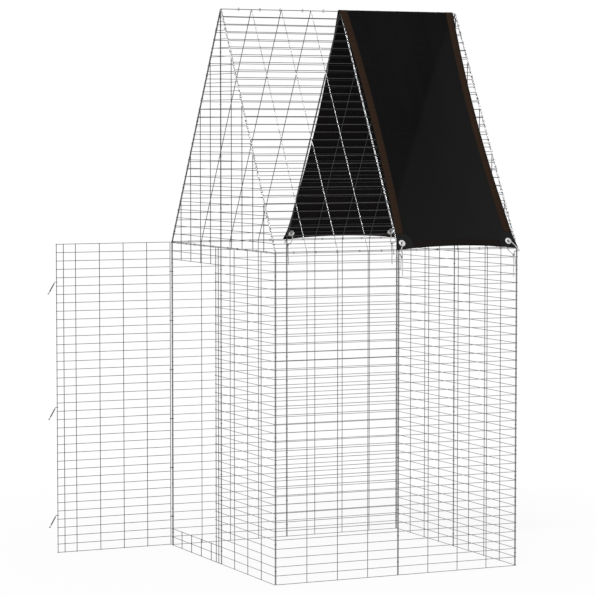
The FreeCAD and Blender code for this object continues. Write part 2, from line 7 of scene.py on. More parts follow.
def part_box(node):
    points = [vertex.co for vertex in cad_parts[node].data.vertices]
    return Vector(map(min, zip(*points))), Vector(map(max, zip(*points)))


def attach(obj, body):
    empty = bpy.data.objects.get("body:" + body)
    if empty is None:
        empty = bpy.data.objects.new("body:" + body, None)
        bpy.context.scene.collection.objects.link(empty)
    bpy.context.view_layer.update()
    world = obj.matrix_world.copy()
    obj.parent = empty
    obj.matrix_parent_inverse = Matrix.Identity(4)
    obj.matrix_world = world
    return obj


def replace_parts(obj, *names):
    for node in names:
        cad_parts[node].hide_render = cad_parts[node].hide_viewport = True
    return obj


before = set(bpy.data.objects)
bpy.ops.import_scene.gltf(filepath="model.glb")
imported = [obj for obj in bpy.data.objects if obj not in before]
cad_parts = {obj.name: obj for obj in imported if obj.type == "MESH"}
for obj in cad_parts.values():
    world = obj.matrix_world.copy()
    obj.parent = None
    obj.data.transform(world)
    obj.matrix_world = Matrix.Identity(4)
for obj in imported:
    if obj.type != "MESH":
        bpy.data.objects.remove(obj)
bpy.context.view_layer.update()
scene = bpy.context.scene
scene.view_settings.view_transform = "Standard"
mm = 0.001
tiny = 1e-12
fullTurn = 2 * math.pi
print("frame loaded:", len(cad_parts), "nodes")

# sizes of the welded mesh, as the part's source has them, in millimetres
cage = {
    "panelWidth": 532, "wallColumns": 4, "fineColumns": 5, "rowPitch": 35, "wallRows": 37,
    "roofRowPitch": 35.4, "roofRows": 31, "uprightDia": 3.0, "rungDia": 2.4, "jointGap": 0.6,
    "eavesGap": 1.0, "ridgeGap": 3.0, "jambWidth": 53, "doorLap": 31, "doorLift": 2, "hingeOffset": 8,
    "lintelRows": 2, "sillRows": 2, "shortestRung": 20, "clipSide": 0.95, "clipWire": 1.6,
}
panel = cage["panelWidth"]
joint = cage["uprightDia"] + cage["jointGap"]
weld = (cage["uprightDia"] + cage["rungDia"]) / 2
halfRun = panel + joint / 2
wallTop = cage["rungDia"] + cage["wallRows"] * cage["rowPitch"]
eaves = wallTop + cage["eavesGap"]
rafter = cage["rungDia"] + cage["roofRows"] * cage["roofRowPitch"]
slope = math.acos((halfRun - cage["ridgeGap"] / 2) / rafter)
slopeCos, slopeSin = math.cos(slope), math.sin(slope)
frontLow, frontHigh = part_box("wall_front_left")
xMid = frontLow.x / mm + halfRun + cage["uprightDia"] / 2
yFront = frontHigh.y / mm - cage["uprightDia"] / 2
yMid, yBack = yFront + halfRun, yFront + 2 * halfRun
xLeft, xRight = xMid - halfRun - joint, xMid + halfRun + joint


# quads from each grid point to its next row and column, wrapped round where a side is closed
def gridFaces(rows, columns, closeRows=False, closeColumns=False):
    startRows = np.arange(rows if closeRows else rows - 1)
    startColumns = np.arange(columns if closeColumns else columns - 1)
    row, column = np.meshgrid(startRows, startColumns, indexing="ij")
    nextRow, nextColumn = (row + 1) % rows, (column + 1) % columns
    corners = [(row, column), (row, nextColumn), (nextRow, nextColumn), (nextRow, column)]
    return np.stack([r * columns + c for r, c in corners], axis=-1).reshape(-1, 4)


# quads of one tube or of several alike, each copy's numbers moved on by a tube's points
def tubeFaces(rings, sides, copies=1):
    faces = gridFaces(rings, sides, closeColumns=True)
    return (faces[None] + (np.arange(copies) * rings * sides)[:, None, None]).reshape(-1, 4)


# points in millimetres and quads become one object at the origin, with a finish, that rides on a body
def newPiece(name, points, faces, uv, finish, slotName, body="run"):
    points = np.ascontiguousarray(np.reshape(points, (-1, 3)) * mm, np.float32)
    mesh = bpy.data.meshes.new(name)
    mesh.vertices.add(len(points))
    mesh.vertices.foreach_set("co", points.ravel())
    mesh.loops.add(faces.size)
    mesh.loops.foreach_set("vertex_index", faces.astype(np.int32).ravel())
    mesh.polygons.add(len(faces))
    mesh.polygons.foreach_set("loop_start", np.arange(0, faces.size, faces.shape[1], dtype=np.int32))
    mesh.polygons.foreach_set("use_smooth", np.ones(len(faces), bool))
    mesh.update(calc_edges=True)
    mesh.validate()
    if uv is not None:
        layer = mesh.uv_layers.new(name="surface")
        layer.data.foreach_set("uv", np.reshape(uv, (-1, 2))[faces.ravel()].astype(np.float32).ravel())
    mesh.materials.append(materials[finish])
    piece = bpy.data.objects.new(name, mesh)
    scene.collection.objects.link(piece)
    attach(piece, body)
    return piece


# vectors divided by their own lengths, which are taken as at least tiny
def unit(vectors):
    return vectors / np.maximum(np.linalg.norm(vectors, axis=-1, keepdims=True), tiny)


# distance from a line's start to each of its points, the sum of the steps before it
def lengthAlong(line):
    return np.concatenate([[0], np.cumsum(np.linalg.norm(np.diff(line, axis=0), axis=1))])


# equal steps round a full turn, in radians
def ringAngles(count):
    return np.arange(count) * fullTurn / count


# directions round an axis: the angle's cosine along one cross direction plus its sine along the other
def spokesAt(angle, across, up):
    return np.cos(angle)[..., None] * across + np.sin(angle)[..., None] * up


# surface coordinates of a grid in metres, from its millimetres across and along
def surfaceUv(across, along):
    return np.stack(np.broadcast_arrays(across, along), axis=-1) * mm


# directions along a path, and two across it: a station's side is the last one, less its share along the path
def pathFrames(path):
    along = unit(np.gradient(path, axis=0))
    across = np.empty_like(along)
    side = np.cross(along[0], np.eye(3)[np.argmin(np.abs(along[0]))])
    for station, heading in enumerate(along):
        side = unit(side - heading * (side @ heading))
        across[station] = side
    return along, across, np.cross(along, across)


# camera at the photograph's viewing angle, placed from the near left corner post
view = {
    "fromCorner": (-4058.4, -8997.0, 1776.5), "pitch": 86.228, "yaw": -24.776, "lens": 154.4, "sensor": 36,
}
cameraData = bpy.data.cameras.new("view")
cameraData.lens = view["lens"]
cameraData.sensor_width = view["sensor"]
camera = bpy.data.objects.new("view", cameraData)
cornerPost = np.array([xMid - halfRun - joint / 2, yFront, 0])
camera.location = (cornerPost + np.array(view["fromCorner"])) * mm
camera.rotation_euler = [math.radians(view["pitch"]), 0, math.radians(view["yaw"])]
scene.collection.objects.link(camera)
scene.camera = camera
print("camera set at", [round(v, 3) for v in camera.location])


# a node's inputs: a value that is a socket is linked, any other is set
def setInputs(tree, node, values):
    for key, value in values.items():
        if isinstance(value, bpy.types.NodeSocket):
            tree.links.new(value, node.inputs[key])
        else:
            node.inputs[key].default_value = value


# a node with its settings and then its inputs
def addNode(tree, kind, values=None, **settings):
    made = tree.nodes.new(kind)
    for key, value in settings.items():
        setattr(made, key, value)
    setInputs(tree, made, values or {})
    return made


# one sum or product of two values, or one function of the first
def calc(tree, operation, a, b=0.0, clamp=False):
    return addNode(tree, "ShaderNodeMath", {0: a, 1: b}, operation=operation, use_clamp=clamp).outputs[0]


# a value's way between two limits, carried to the range from low to high and held within it
def remap(tree, value, low, high, limits=(0.0, 1.0), shape="LINEAR"):
    values = {"Value": value, "From Min": limits[0], "From Max": limits[1], "To Min": low, "To Max": high}
    return addNode(tree, "ShaderNodeMapRange", values, interpolation_type=shape).outputs[0]


# soft noise of a scale, with detail laid over it
def noise(tree, place, scale, detail):
    values = {"Vector": place, "Scale": scale, "Detail": detail}
    return addNode(tree, "ShaderNodeTexNoise", values).outputs["Fac"]


# a point's own place on the object, in metres
def objectPlace(tree):
    return addNode(tree, "ShaderNodeTexCoord").outputs["Object"]


# a point's metres across and along the surface
def surfaceAxes(tree):
    place = addNode(tree, "ShaderNodeUVMap", uv_map="surface").outputs["UV"]
    return addNode(tree, "ShaderNodeSeparateXYZ", {"Vector": place}).outputs[:2]


# an empty node group with number sockets, and its two end nodes
def newGroup(name, inputs, outputs):
    tree = bpy.data.node_groups.new(name, "ShaderNodeTree")
    for label, default in inputs.items():
        socket = tree.interface.new_socket(label, in_out="INPUT", socket_type="NodeSocketFloat")
        socket.default_value = default
    for label in outputs:
        tree.interface.new_socket(label, in_out="OUTPUT", socket_type="NodeSocketFloat")
    return tree, tree.nodes.new("NodeGroupInput"), tree.nodes.new("NodeGroupOutput")


zinc = {"cellShare": 0.45, "cloudShare": 0.55, "cloudDetail": 4.0, "grainScale": 1800.0, "grainDetail": 2.0}


# zinc coat: a share of a random shade for each crystal cell plus a share of clouds, and a fine grain
def makeZincCoat():
    tree, start, end = newGroup("zincCoat", {"Cells": 350.0, "Clouds": 40.0}, ["Mottle", "Grain"])
    place = objectPlace(tree)
    cells = addNode(tree, "ShaderNodeTexVoronoi", {"Vector": place, "Scale": start.outputs["Cells"]})
    shade = addNode(tree, "ShaderNodeSeparateColor", {"Color": cells.outputs["Color"]}).outputs[0]
    clouds = noise(tree, place, start.outputs["Clouds"], zinc["cloudDetail"])
    both = calc(tree, "ADD", calc(tree, "MULTIPLY", shade, zinc["cellShare"]),
                calc(tree, "MULTIPLY", clouds, zinc["cloudShare"]), True)
    grain = noise(tree, place, zinc["grainScale"], zinc["grainDetail"])
    setInputs(tree, end, {"Mottle": both, "Grain": grain})
    return tree


# plain weave on the surface's own metres: the height is the size of a sine across times a sine along, and the
# shade the mean of two random shades, one for each crossing thread
def makeWeave():
    tree, start, end = newGroup("threadWeave", {"Threads": 700.0}, ["Height", "Thread"])
    axes = surfaceAxes(tree)
    turns = calc(tree, "MULTIPLY", start.outputs["Threads"], math.pi)
    waves = [calc(tree, "SINE", calc(tree, "MULTIPLY", axis, turns)) for axis in axes]
    height = calc(tree, "ABSOLUTE", calc(tree, "MULTIPLY", *waves))
    counts = [calc(tree, "FLOOR", calc(tree, "MULTIPLY", axis, start.outputs["Threads"])) for axis in axes]
    shades = [addNode(tree, "ShaderNodeTexWhiteNoise", {"W": count}, noise_dimensions="1D").outputs["Value"]
              for count in counts]
    thread = calc(tree, "MULTIPLY", calc(tree, "ADD", *shades), 0.5)
    setInputs(tree, end, {"Height": height, "Thread": thread})
    return tree


wear = {"detail": 5.0, "limits": (0.35, 0.7)}


# weather: a soft noise between two limits, drawn out down the surface like run-off
def makeWeather():
    tree, start, end = newGroup("weather", {"Size": 6.0, "Stretch": 0.25}, ["Patch"])
    stretch = start.outputs["Stretch"]
    scale = addNode(tree, "ShaderNodeCombineXYZ", {"X": 1.0, "Y": stretch, "Z": stretch}).outputs[0]
    drawn = addNode(tree, "ShaderNodeVectorMath", {0: objectPlace(tree), 1: scale}, operation="MULTIPLY")
    soft = noise(tree, drawn.outputs[0], start.outputs["Size"], wear["detail"])
    setInputs(tree, end, {"Patch": remap(tree, soft, 0.0, 1.0, wear["limits"])})
    return tree


zincCoat, threadWeave, weather = makeZincCoat(), makeWeave(), makeWeather()


# a material with its tree and its main shader
def newMaterial(name):
    material = bpy.data.materials.new(name)
    material.use_nodes = True
    return material, material.node_tree, material.node_tree.nodes["Principled BSDF"]


# a group placed in a material with values of its own
def useGroup(tree, group, **values):
    return addNode(tree, "ShaderNodeGroup", values, node_tree=group).outputs


# the dark colour at 0 and the light one at 1, mixed straight between; the node's colours are its inputs 6 and
# 7 and its output 2
def blendColour(tree, factor, dark, light):
    a, b = (c if isinstance(c, bpy.types.NodeSocket) else (*c, 1) for c in (dark, light))
    mix = addNode(tree, "ShaderNodeMix", {"Factor": factor, 6: a, 7: b}, data_type="RGBA")
    return mix.outputs[2]


# normals that lean with a height times the finish's depth in metres, in proportion to its strength
def bumped(tree, height, settings):
    values = {"Height": height, "Strength": settings["bump"], "Distance": settings["bumpDepth"]}
    return addNode(tree, "ShaderNodeBump", values).outputs[0]


# what the metals share, where a finish doesn't say otherwise
metalCoat = {
    "metallic": 0.85, "bump": 0.25, "bumpDepth": 0.0004, "rough": (0.2, 0.35), "roughBy": "Mottle",
    "cells": 350, "clouds": 40,
}
metalFinish = {
    "meshWire": {"dark": (0.13, 0.132, 0.136), "light": (0.27, 0.273, 0.279)},
    # the door leaf's wire is meshWire's zinc wire made darker: painted shade on the door leaf
    "doorWireShaded": {"dark": (0.06, 0.0615, 0.064), "light": (0.14, 0.1425, 0.146)},
    # the roof's wire is the walls' zinc wire darkened, a painted shade, with a painted glint on the front
    # rafters
    "roofWireShadeAndGlint": {"dark": (0.03, 0.031, 0.033), "light": (0.075, 0.077, 0.08), "rough": (0.18, 0.28),
                 # the front rafters' brighter pair of colours is a painted glint
                 "glintRafterDark": (0.14, 0.143, 0.147), "glintRafterLight": (0.3, 0.304, 0.31), "rafterHalf": 1.56},
    "clipWire": {"dark": (0.04, 0.041, 0.043), "light": (0.12, 0.123, 0.127), "rough": (0.28, 0.45),
                 "cells": 500},
    "hookWire": {"dark": (0.04, 0.041, 0.043), "light": (0.1, 0.103, 0.107), "rough": (0.28, 0.45),
                 "cells": 400},
    "weldMark": {"dark": (0.08, 0.081, 0.083), "light": (0.18, 0.182, 0.186), "rough": (0.3, 0.5),
                 "cells": 700},
    # roofWeld is weldMark made lighter for the front slope's welds: a painted highlight
    "roofWeld": {"dark": (0.1, 0.102, 0.105), "light": (0.24, 0.243, 0.248), "cells": 700},
    "eyeletMetal": {"dark": (0.5, 0.505, 0.51), "light": (0.78, 0.78, 0.775), "rough": (0.22, 0.42),
                    "roughBy": "Grain", "cells": 900, "clouds": 120, "metallic": 1.0, "bump": 0.12,
                    "bumpDepth": 0.0003},
}


# where the front rafters get a painted glint: 1 where the height over the front slope's plane, in
# millimetres, is within half a wire
def makePaintedGlintMask():
    tree, start, end = newGroup("paintedGlintMask", {"Half": cage["uprightDia"] / 2}, ["Mask"])
    foot = (0, yFront * mm, eaves * mm)
    upright = (0, -slopeSin / mm, slopeCos / mm)
    away = addNode(tree, "ShaderNodeVectorMath", {0: objectPlace(tree), 1: foot}, operation="SUBTRACT")
    height = addNode(tree, "ShaderNodeVectorMath", {0: away.outputs[0], 1: upright}, operation="DOT_PRODUCT")
    near = calc(tree, "LESS_THAN", calc(tree, "ABSOLUTE", height.outputs["Value"]), start.outputs["Half"])
    setInputs(tree, end, {"Mask": near})
    return tree


paintedGlintMask = makePaintedGlintMask()


# coated metal: dark to light by the coat's mottle, and rougher by its mottle or its grain; the front rafters
# have a brighter pair of colours, a painted glint
def makeMetal(name):
    settings = {**metalCoat, **metalFinish[name]}
    material, tree, shader = newMaterial(name)
    coat = useGroup(tree, zincCoat, Cells=settings["cells"], Clouds=settings["clouds"])
    colour = blendColour(tree, coat["Mottle"], settings["dark"], settings["light"])
    if "rafterHalf" in settings:
        bright = blendColour(tree, coat["Mottle"], settings["glintRafterDark"], settings["glintRafterLight"])
        onRafter = useGroup(tree, paintedGlintMask, Half=settings["rafterHalf"])
        colour = blendColour(tree, onRafter["Mask"], colour, bright)
    setInputs(tree, shader, {
        "Base Color": colour, "Roughness": remap(tree, coat[settings["roughBy"]], *settings["rough"]),
        "Metallic": settings["metallic"], "Normal": bumped(tree, coat["Grain"], settings)})
    return material


materials = {name: makeMetal(name) for name in metalFinish}

# what the cloths share, where a finish doesn't say otherwise
clothWear = {
    "rough": (0.6, 0.8), "sheen": 0.025, "threads": 600, "bump": 0.35, "bumpDepth": 0.0005, "patchSize": 5.0,
    "dustShare": 0.3,
}
clothFinish = {
    "tarpCloth": {
        "dark": (0.0016, 0.0017, 0.0019), "light": (0.0042, 0.0043, 0.0046), "dust": (0.009, 0.009, 0.0092)},
    "hemBand": {
        "dark": (0.0165, 0.0085, 0.005), "light": (0.028, 0.016, 0.0098), "dust": (0.031, 0.0205, 0.0145),
        "threads": 450, "bump": 0.5},
    "patchCloth": {
        "dark": (0.0075, 0.0076, 0.0078), "light": (0.0125, 0.0126, 0.0128), "dust": (0.02, 0.02, 0.02),
        "sheen": 0.03},
    "footHem": {
        "dark": (0.0062, 0.0046, 0.0042), "light": (0.0105, 0.0082, 0.0076), "dust": (0.014, 0.0115, 0.011),
        "threads": 500, "bump": 0.4},
    "stitchThread": {
        "dark": (0.006, 0.004, 0.003), "light": (0.02, 0.013, 0.01), "dust": (0.024, 0.019, 0.015),
        "rough": (0.5, 0.7), "sheen": 0.1, "threads": 3000, "bump": 0.3},
}


# cloth: dark to light by thread, then a share of dust where the weather lies, rougher between the threads
def makeCloth(name):
    settings = {**clothWear, **clothFinish[name]}
    material, tree, shader = newMaterial(name)
    weave = useGroup(tree, threadWeave, Threads=settings["threads"])
    worn = useGroup(tree, weather, Size=settings["patchSize"])
    threads = blendColour(tree, weave["Thread"], settings["dark"], settings["light"])
    share = calc(tree, "MULTIPLY", worn["Patch"], settings["dustShare"])
    setInputs(tree, shader, {
        "Base Color": blendColour(tree, share, threads, settings["dust"]),
        "Roughness": remap(tree, weave["Height"], *reversed(settings["rough"])),
        "Specular IOR Level": settings["sheen"], "Normal": bumped(tree, weave["Height"], settings)})
    return material


materials.update({name: makeCloth(name) for name in clothFinish})

# painted light on the sheet: a lighter tone past a slanting line on its front half, and on its back half
paintedSheetLight = {
    "slant": 0.556, "edge": (-0.36, -0.33), "edgeShare": 0.35, "slow": (-0.33, 0.2), "slowShare": 0.65,
    "front": (0.0105, 0.0106, 0.0108), "ridge": (1.105, 1.118), "backShare": 0.75,
    "back": (0.0098, 0.008, 0.0081),
}


# the painted light's edge is the line where across less slant times along is constant, in the sheet's own
# metres: a quick step at it and a slow rise past it; past the ridge the painted lighter tone comes in at once
def paintSheetLight(material):
    tree = material.node_tree
    shader = tree.nodes["Principled BSDF"]
    plain = shader.inputs["Base Color"].links[0].from_socket
    across, along = surfaceAxes(tree)
    line = calc(tree, "SUBTRACT", across, calc(tree, "MULTIPLY", along, paintedSheetLight["slant"]))
    step = remap(tree, line, 0.0, paintedSheetLight["edgeShare"], paintedSheetLight["edge"], "SMOOTHSTEP")
    rise = remap(tree, line, 0.0, paintedSheetLight["slowShare"], paintedSheetLight["slow"])
    front = blendColour(tree, calc(tree, "ADD", step, rise), plain, paintedSheetLight["front"])
    past = remap(tree, along, 0.0, paintedSheetLight["backShare"], paintedSheetLight["ridge"])
    setInputs(tree, shader, {"Base Color": blendColour(tree, past, front, paintedSheetLight["back"])})


paintSheetLight(materials["tarpCloth"])

cordWear = {"threads": 2200.0, "patchSize": 70.0, "stretch": 1.0, "bump": 0.4, "bumpDepth": 0.0002}
cordFinish = {
    "tieCord": {"dark": (0.44, 0.435, 0.42), "light": (0.72, 0.715, 0.7), "rough": 0.8},
    # the knot's cord is tieCord darkened: painted shade in the knot's folds
    "knotCord": {"dark": (0.2, 0.197, 0.19), "light": (0.44, 0.435, 0.42), "rough": 0.85},
}


# cord: dark to light by the mean of its thread shade and its weather
def makeCord(name):
    settings = {**cordWear, **cordFinish[name]}
    material, tree, shader = newMaterial(name)
    weave = useGroup(tree, threadWeave, Threads=settings["threads"])
    worn = useGroup(tree, weather, Size=settings["patchSize"], Stretch=settings["stretch"])
    shade = calc(tree, "MULTIPLY", calc(tree, "ADD", weave["Thread"], worn["Patch"]), 0.5)
    setInputs(tree, shader, {
        "Base Color": blendColour(tree, shade, settings["dark"], settings["light"]),
        "Roughness": settings["rough"], "Normal": bumped(tree, weave["Height"], settings)})
    return material


materials.update({name: makeCord(name) for name in cordFinish})

# the wires, clips and hooks keep their shape and take the zinc finishes
for nodeName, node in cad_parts.items():
    finish = "meshWire"
    if nodeName.endswith(("clips", "rings")):  # tested first, as some clips are named after the roof
        finish = "clipWire"
    elif nodeName.startswith("door_hook"):
        finish = "hookWire"
    elif nodeName.startswith(("roof", "gable")):
        # roof and gable wires: a darker copy of the zinc wire, painted shade, with a painted glint on the
        # front rafters
        finish = "roofWireShadeAndGlint"
    elif nodeName.startswith("door"):
        # the door leaf takes a darker copy of the zinc wire: painted shade
        finish = "doorWireShaded"
    for materialSlot in node.material_slots:
        materialSlot.material = materials[finish]
print("materials made and given to the wires")

# ties: points are towards the eyelet from the post, outwards from the wall, up from the wall's top
tieRoutes = {
    "left": {
        "loop": [(8.5, 5.2, -21.5), (10, -4, -17), (4, -10.5, -14), (-6, -8.5, -13), (-10, 0.5, -12),
                 (-6, 9.6, -10), (3, 11, -2.5), (9.5, 9, 11), (13.8, 6, 22.5), (18.3, -1, 31.3),
                 (18.3, -12.9, 24.7), (20, -19, 11), (19.5, -11, -5), (17, 0, -16), (12.4, 7.8, -21.6)],
        "long_tail": [(10.4, 10.5, -28.5), (12, 11.5, -46), (10.5, 10.5, -66), (13, 9.5, -88),
                      (11.5, 9, -109)],
        "short_tail": [(5.8, 10.5, -28.5), (3.5, 12, -42), (4.5, 11, -58), (1.5, 10, -73.5)],
        "length": {"loop": 0.1676, "long_tail": 0.0807, "short_tail": 0.0455},
    },
    "right": {
        "loop": [(15.2, 7.4, -24), (10.5, -3, -18), (3.5, -10.5, -14), (-6, -8.5, -12.5), (-10.5, 0.5, -11.5),
                 (-7, 9.6, -9), (2, 11.2, -1.5), (13, 9, 11), (26, 4, 25), (35.3, -1, 31.3),
                 (35.3, -12.9, 24.7), (36.8, -19, 11), (35.5, -10.5, -5), (30.5, 1.5, -16.5),
                 (23.6, 8, -23.2)],
        "long_tail": [(21.8, 10.5, -30.5), (20.5, 11.5, -49), (18, 10.5, -70), (20, 9.5, -94),
                      (18.5, 9, -117)],
        "short_tail": [(16.8, 10.5, -30.5), (13, 12, -44), (12.5, 11, -60), (9.5, 10, -75.5)],
        "length": {"loop": 0.1837, "long_tail": 0.0868, "short_tail": 0.0458},
    },
}
ties = {
    "front_left": ("left", xMid, 1, yFront, -1),
    "front_right": ("right", xMid + halfRun + joint / 2, -1, yFront, -1),
    "back_left": ("left", xMid, 1, yBack, 1),
    "back_right": ("right", xMid + halfRun + joint / 2, -1, yBack, 1),
}
rope = {
    "diameter": 4.0, "strands": 3, "strandRadius": 1.08, "layLength": 11.0, "sides": 24, "endShare": 0.02,
    "splineOrder": 3, "splineSteps": 16,
}
ropeRadius = rope["diameter"] / 2


# the line of a cord: points read from a spline that has the route as its control points, in millimetres
def cordLine(name, route):
    data = bpy.data.curves.new(name + "_line", "CURVE")
    data.dimensions = "3D"
    spline = data.splines.new("NURBS")
    spline.points.add(len(route) - 1)
    spline.points.foreach_set("co", np.column_stack([route * mm, np.ones(len(route))]).ravel())
    spline.order_u = rope["splineOrder"]
    spline.use_endpoint_u = True
    spline.resolution_u = rope["splineSteps"]
    holder = bpy.data.objects.new(name + "_line", data)
    scene.collection.objects.link(holder)
    bpy.context.view_layer.update()
    sampled = bpy.data.meshes.new_from_object(holder)
    line = np.empty(len(sampled.vertices) * 3, np.float32)
    sampled.vertices.foreach_get("co", line)
    bpy.data.objects.remove(holder)
    bpy.data.meshes.remove(sampled)
    return line.reshape(-1, 3).astype(float) / mm


# laid rope: a ring round the line whose radius is the farthest edge of the strands that lie round it, where
# the strands turn once in a lay length; the end rings close to a point
def ropeTube(line):
    _, across, up = pathFrames(line)
    length = lengthAlong(line)
    ring = ringAngles(rope["sides"])
    turn = fullTurn * length / rope["layLength"]
    between = fullTurn / rope["strands"]
    offset = (ring + between / 2) % between - between / 2
    wind = ropeRadius - rope["strandRadius"]
    radius = wind * np.cos(offset) + np.sqrt(rope["strandRadius"] ** 2 - (wind * np.sin(offset)) ** 2)
    closing = np.ones(len(line))
    closing[[0, -1]] = rope["endShare"]
    reach = radius[None] * closing[:, None]
    spokes = spokesAt(ring[None] + turn[:, None], across[:, None], up[:, None])
    points = line[:, None] + reach[..., None] * spokes
    uv = surfaceUv(ring[None] * ropeRadius, length[:, None])
    return points, tubeFaces(len(line), rope["sides"]), uv


knotForm = {
    "width": 12.5, "depth": 8.5, "stations": 150, "sides": 10, "girth": 0.93, "groove": 0.1, "radian": 10,
}


# knot: a cord carried round a three-lobed closed line, sin t + 2 sin 2t by cos t - 2 cos 2t, dipping with
# sin 3t; its strands show as grooves, a cosine of the angle round the cord less the angle round the knot
def knotShape(centre, outward):
    t = ringAngles(knotForm["stations"])
    flat = (knotForm["width"] - rope["diameter"]) / 6  # the line reaches three times this to each side
    deep = (knotForm["depth"] - rope["diameter"]) / 2
    line = np.column_stack([flat * (np.sin(t) + 2 * np.sin(2 * t)), -outward * deep * np.sin(3 * t),
                            flat * (np.cos(t) - 2 * np.cos(2 * t))])
    along = unit(np.roll(line, -1, axis=0) - np.roll(line, 1, axis=0))
    across = unit(np.cross(along, [0.0, outward, 0.0]))
    up = np.cross(along, across)
    ring = ringAngles(knotForm["sides"])
    grooves = np.cos(rope["strands"] * (ring[None] - t[:, None]))
    radius = ropeRadius * (knotForm["girth"] + knotForm["groove"] * grooves)
    shape = line[:, None] + radius[..., None] * spokesAt(ring, across[:, None], up[:, None])
    uv = surfaceUv(ring[None] * ropeRadius, t[:, None] * knotForm["radian"])
    return centre + shape, gridFaces(len(t), len(ring), True, True), uv


# profile of a sealed end, as shares of the tip's length past its middle and of the cord's radius
tipForm = {
    "length": 5.0, "sides": 12, "sunk": 0.5,
    "profile": [(-0.8, 0.4), (-0.4, 1.03), (0.0, 1.08), (0.35, 1.02), (0.55, 0.6), (0.62, 0.02)],
}


# heat-sealed end: a profile that swells a little past the cord and closes in a dome, turned about its end
def sealedTip(line):
    along, across, up = pathFrames(line)
    reach, radius = (np.array(tipForm["profile"]) * [tipForm["length"], ropeRadius]).T
    ring = ringAngles(tipForm["sides"])
    spokes = spokesAt(ring, across[-1], up[-1])
    middle = line[-1] - along[-1] * tipForm["length"] * tipForm["sunk"]
    points = middle + reach[:, None, None] * along[-1] + radius[:, None, None] * spokes[None]
    uv = surfaceUv(ring[None] * ropeRadius, reach[:, None])
    return points, tubeFaces(len(reach), len(ring)), uv


for corner, (hand, post, side, wall, outward) in ties.items():
    routes = tieRoutes[hand]
    place = np.array([post, wall, wallTop])
    turn = np.array([side, outward, 1])
    low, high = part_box("tie_knot_" + corner)
    shape = knotShape(np.array((low + high) / 2) / mm, outward)
    knot = newPiece("knot_" + corner, *shape, "knotCord", "cord")
    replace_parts(knot, "tie_knot_" + corner)
    for part, lay, farEnd in (("loop", "loose", "knot"), ("long_tail", "hanging", "bare"),
                              ("short_tail", "hanging", "bare")):
        line = cordLine(part + corner, place + turn * np.array(routes[part], float))
        cord = newPiece(part + "_" + corner, *ropeTube(line), "tieCord", "cord")
        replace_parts(cord, "tie_" + part + "_" + corner)
        onIt = [knot]
        if part != "loop":
            onIt = [newPiece("tip_" + part + "_" + corner, *sealedTip(line), "tieCord", "cord")]
print("ties laid")

# cover sheet over the right half of both slopes, in millimetres
tarp = {
    "inset": 6, "shift": 8.5, "foot": -2, "thick": 1.0, "play": 0.3, "sideSag": 20, "footSag": 14,
    "across": 88, "upSlope": 140, "overRidge": 14, "pullRight": (7.0, -2.0), "pullLeft": (-8.5, -1.0),
    "pullReach": 30, "strainRight": 11.0, "strainFrontLeft": -2.5, "strainBackLeft": -6.0, "strainReach": 380,
    "ridgeLeft": -7.0, "ridgeRight": 1.0, "ridgeEase": 0.8, "ridgeFlat": 0.4,
    "ripple": 0.8, "folds": [(19, 7, 0), (11, -13, 1.7), (3, 23, 0)],  # waves across, up the slope, start
}
ridgeAlong = rafter - cage["rungDia"] / 2
ridgeSpread = halfRun - ridgeAlong * slopeCos + weld * slopeSin
ridgeBend = ridgeSpread + cage["rungDia"] / 2 + cage["clipSide"] + cage["clipWire"] / 2 + tarp["play"]
ridgeHeight = eaves + ridgeAlong * slopeSin + weld * slopeCos
tarpIn = weld - ridgeSpread * slopeSin + ridgeBend
tarpMiddle = tarpIn + tarp["thick"] / 2
tarpTop = ridgeAlong + ridgeSpread * slopeCos
tarpWidth = panel - 2 * tarp["inset"]
tarpLeft = xMid + joint / 2 + tarp["inset"] - tarp["shift"]
tarpDrop = tarpTop - tarp["foot"]
bendRadius = ridgeBend + tarp["thick"] / 2
bendHalf = bendRadius * slope


# a parabola over the shares from 0 to 1, nothing at the ends and 1 in the middle
def arch(share):
    return 4 * share * (1 - share)


# a point of the sheet: share across, share up the slope (0 at the foot, 1 at the ridge bend), slope side and
# lift. The side edges are hollowed by an arch up the slope and the foot by one across it. The foot is drawn
# wider by a bell curve up the slope, the ridge's ends are moved by a power of the share up, and the corners
# are drawn out by bell curves of the distance to them. Faint folds, sines of both shares, die out at the
# edges.
def slopePoint(across, up, side, lift=0.0):
    across, up, side, lift = np.broadcast_arrays(*[np.asarray(v, float) for v in (across, up, side, lift)])
    hollow = tarp["sideSag"] * arch(up)
    x = tarpLeft + hollow + across * (tarpWidth - 2 * hollow)
    strain = np.exp(-(up * tarpDrop / tarp["strainReach"]) ** 2)
    leftStrain = np.where(side < 0, tarp["strainFrontLeft"], tarp["strainBackLeft"])
    x = x + strain * (tarp["strainRight"] * across ** 2 + leftStrain * (1 - across) ** 2)
    x = x + up ** tarp["ridgeEase"] * (tarp["ridgeLeft"] + across * (tarp["ridgeRight"] - tarp["ridgeLeft"]))
    foot = tarp["foot"] + tarp["footSag"] * arch(across)
    along = foot + up * (tarpTop - foot)
    fromLeft = np.hypot(across * tarpWidth, up * tarpDrop) / tarp["pullReach"]
    fromRight = np.hypot((1 - across) * tarpWidth, up * tarpDrop) / tarp["pullReach"]
    for distance, pull in ((fromLeft, tarp["pullLeft"]), (fromRight, tarp["pullRight"])):
        share = np.exp(-distance ** 2)
        x = x + share * pull[0]
        along = along + share * pull[1]
    folds = sum(np.sin(across * a + up * b + start) for a, b, start in tarp["folds"]) / len(tarp["folds"])
    out = tarpMiddle + lift + tarp["ripple"] * arch(across) * arch(up) * folds
    y = along * slopeCos - out * slopeSin
    z = eaves + along * slopeSin + out * slopeCos
    return np.stack([x, np.where(side < 0, yFront + y, yBack - y), z], axis=-1)


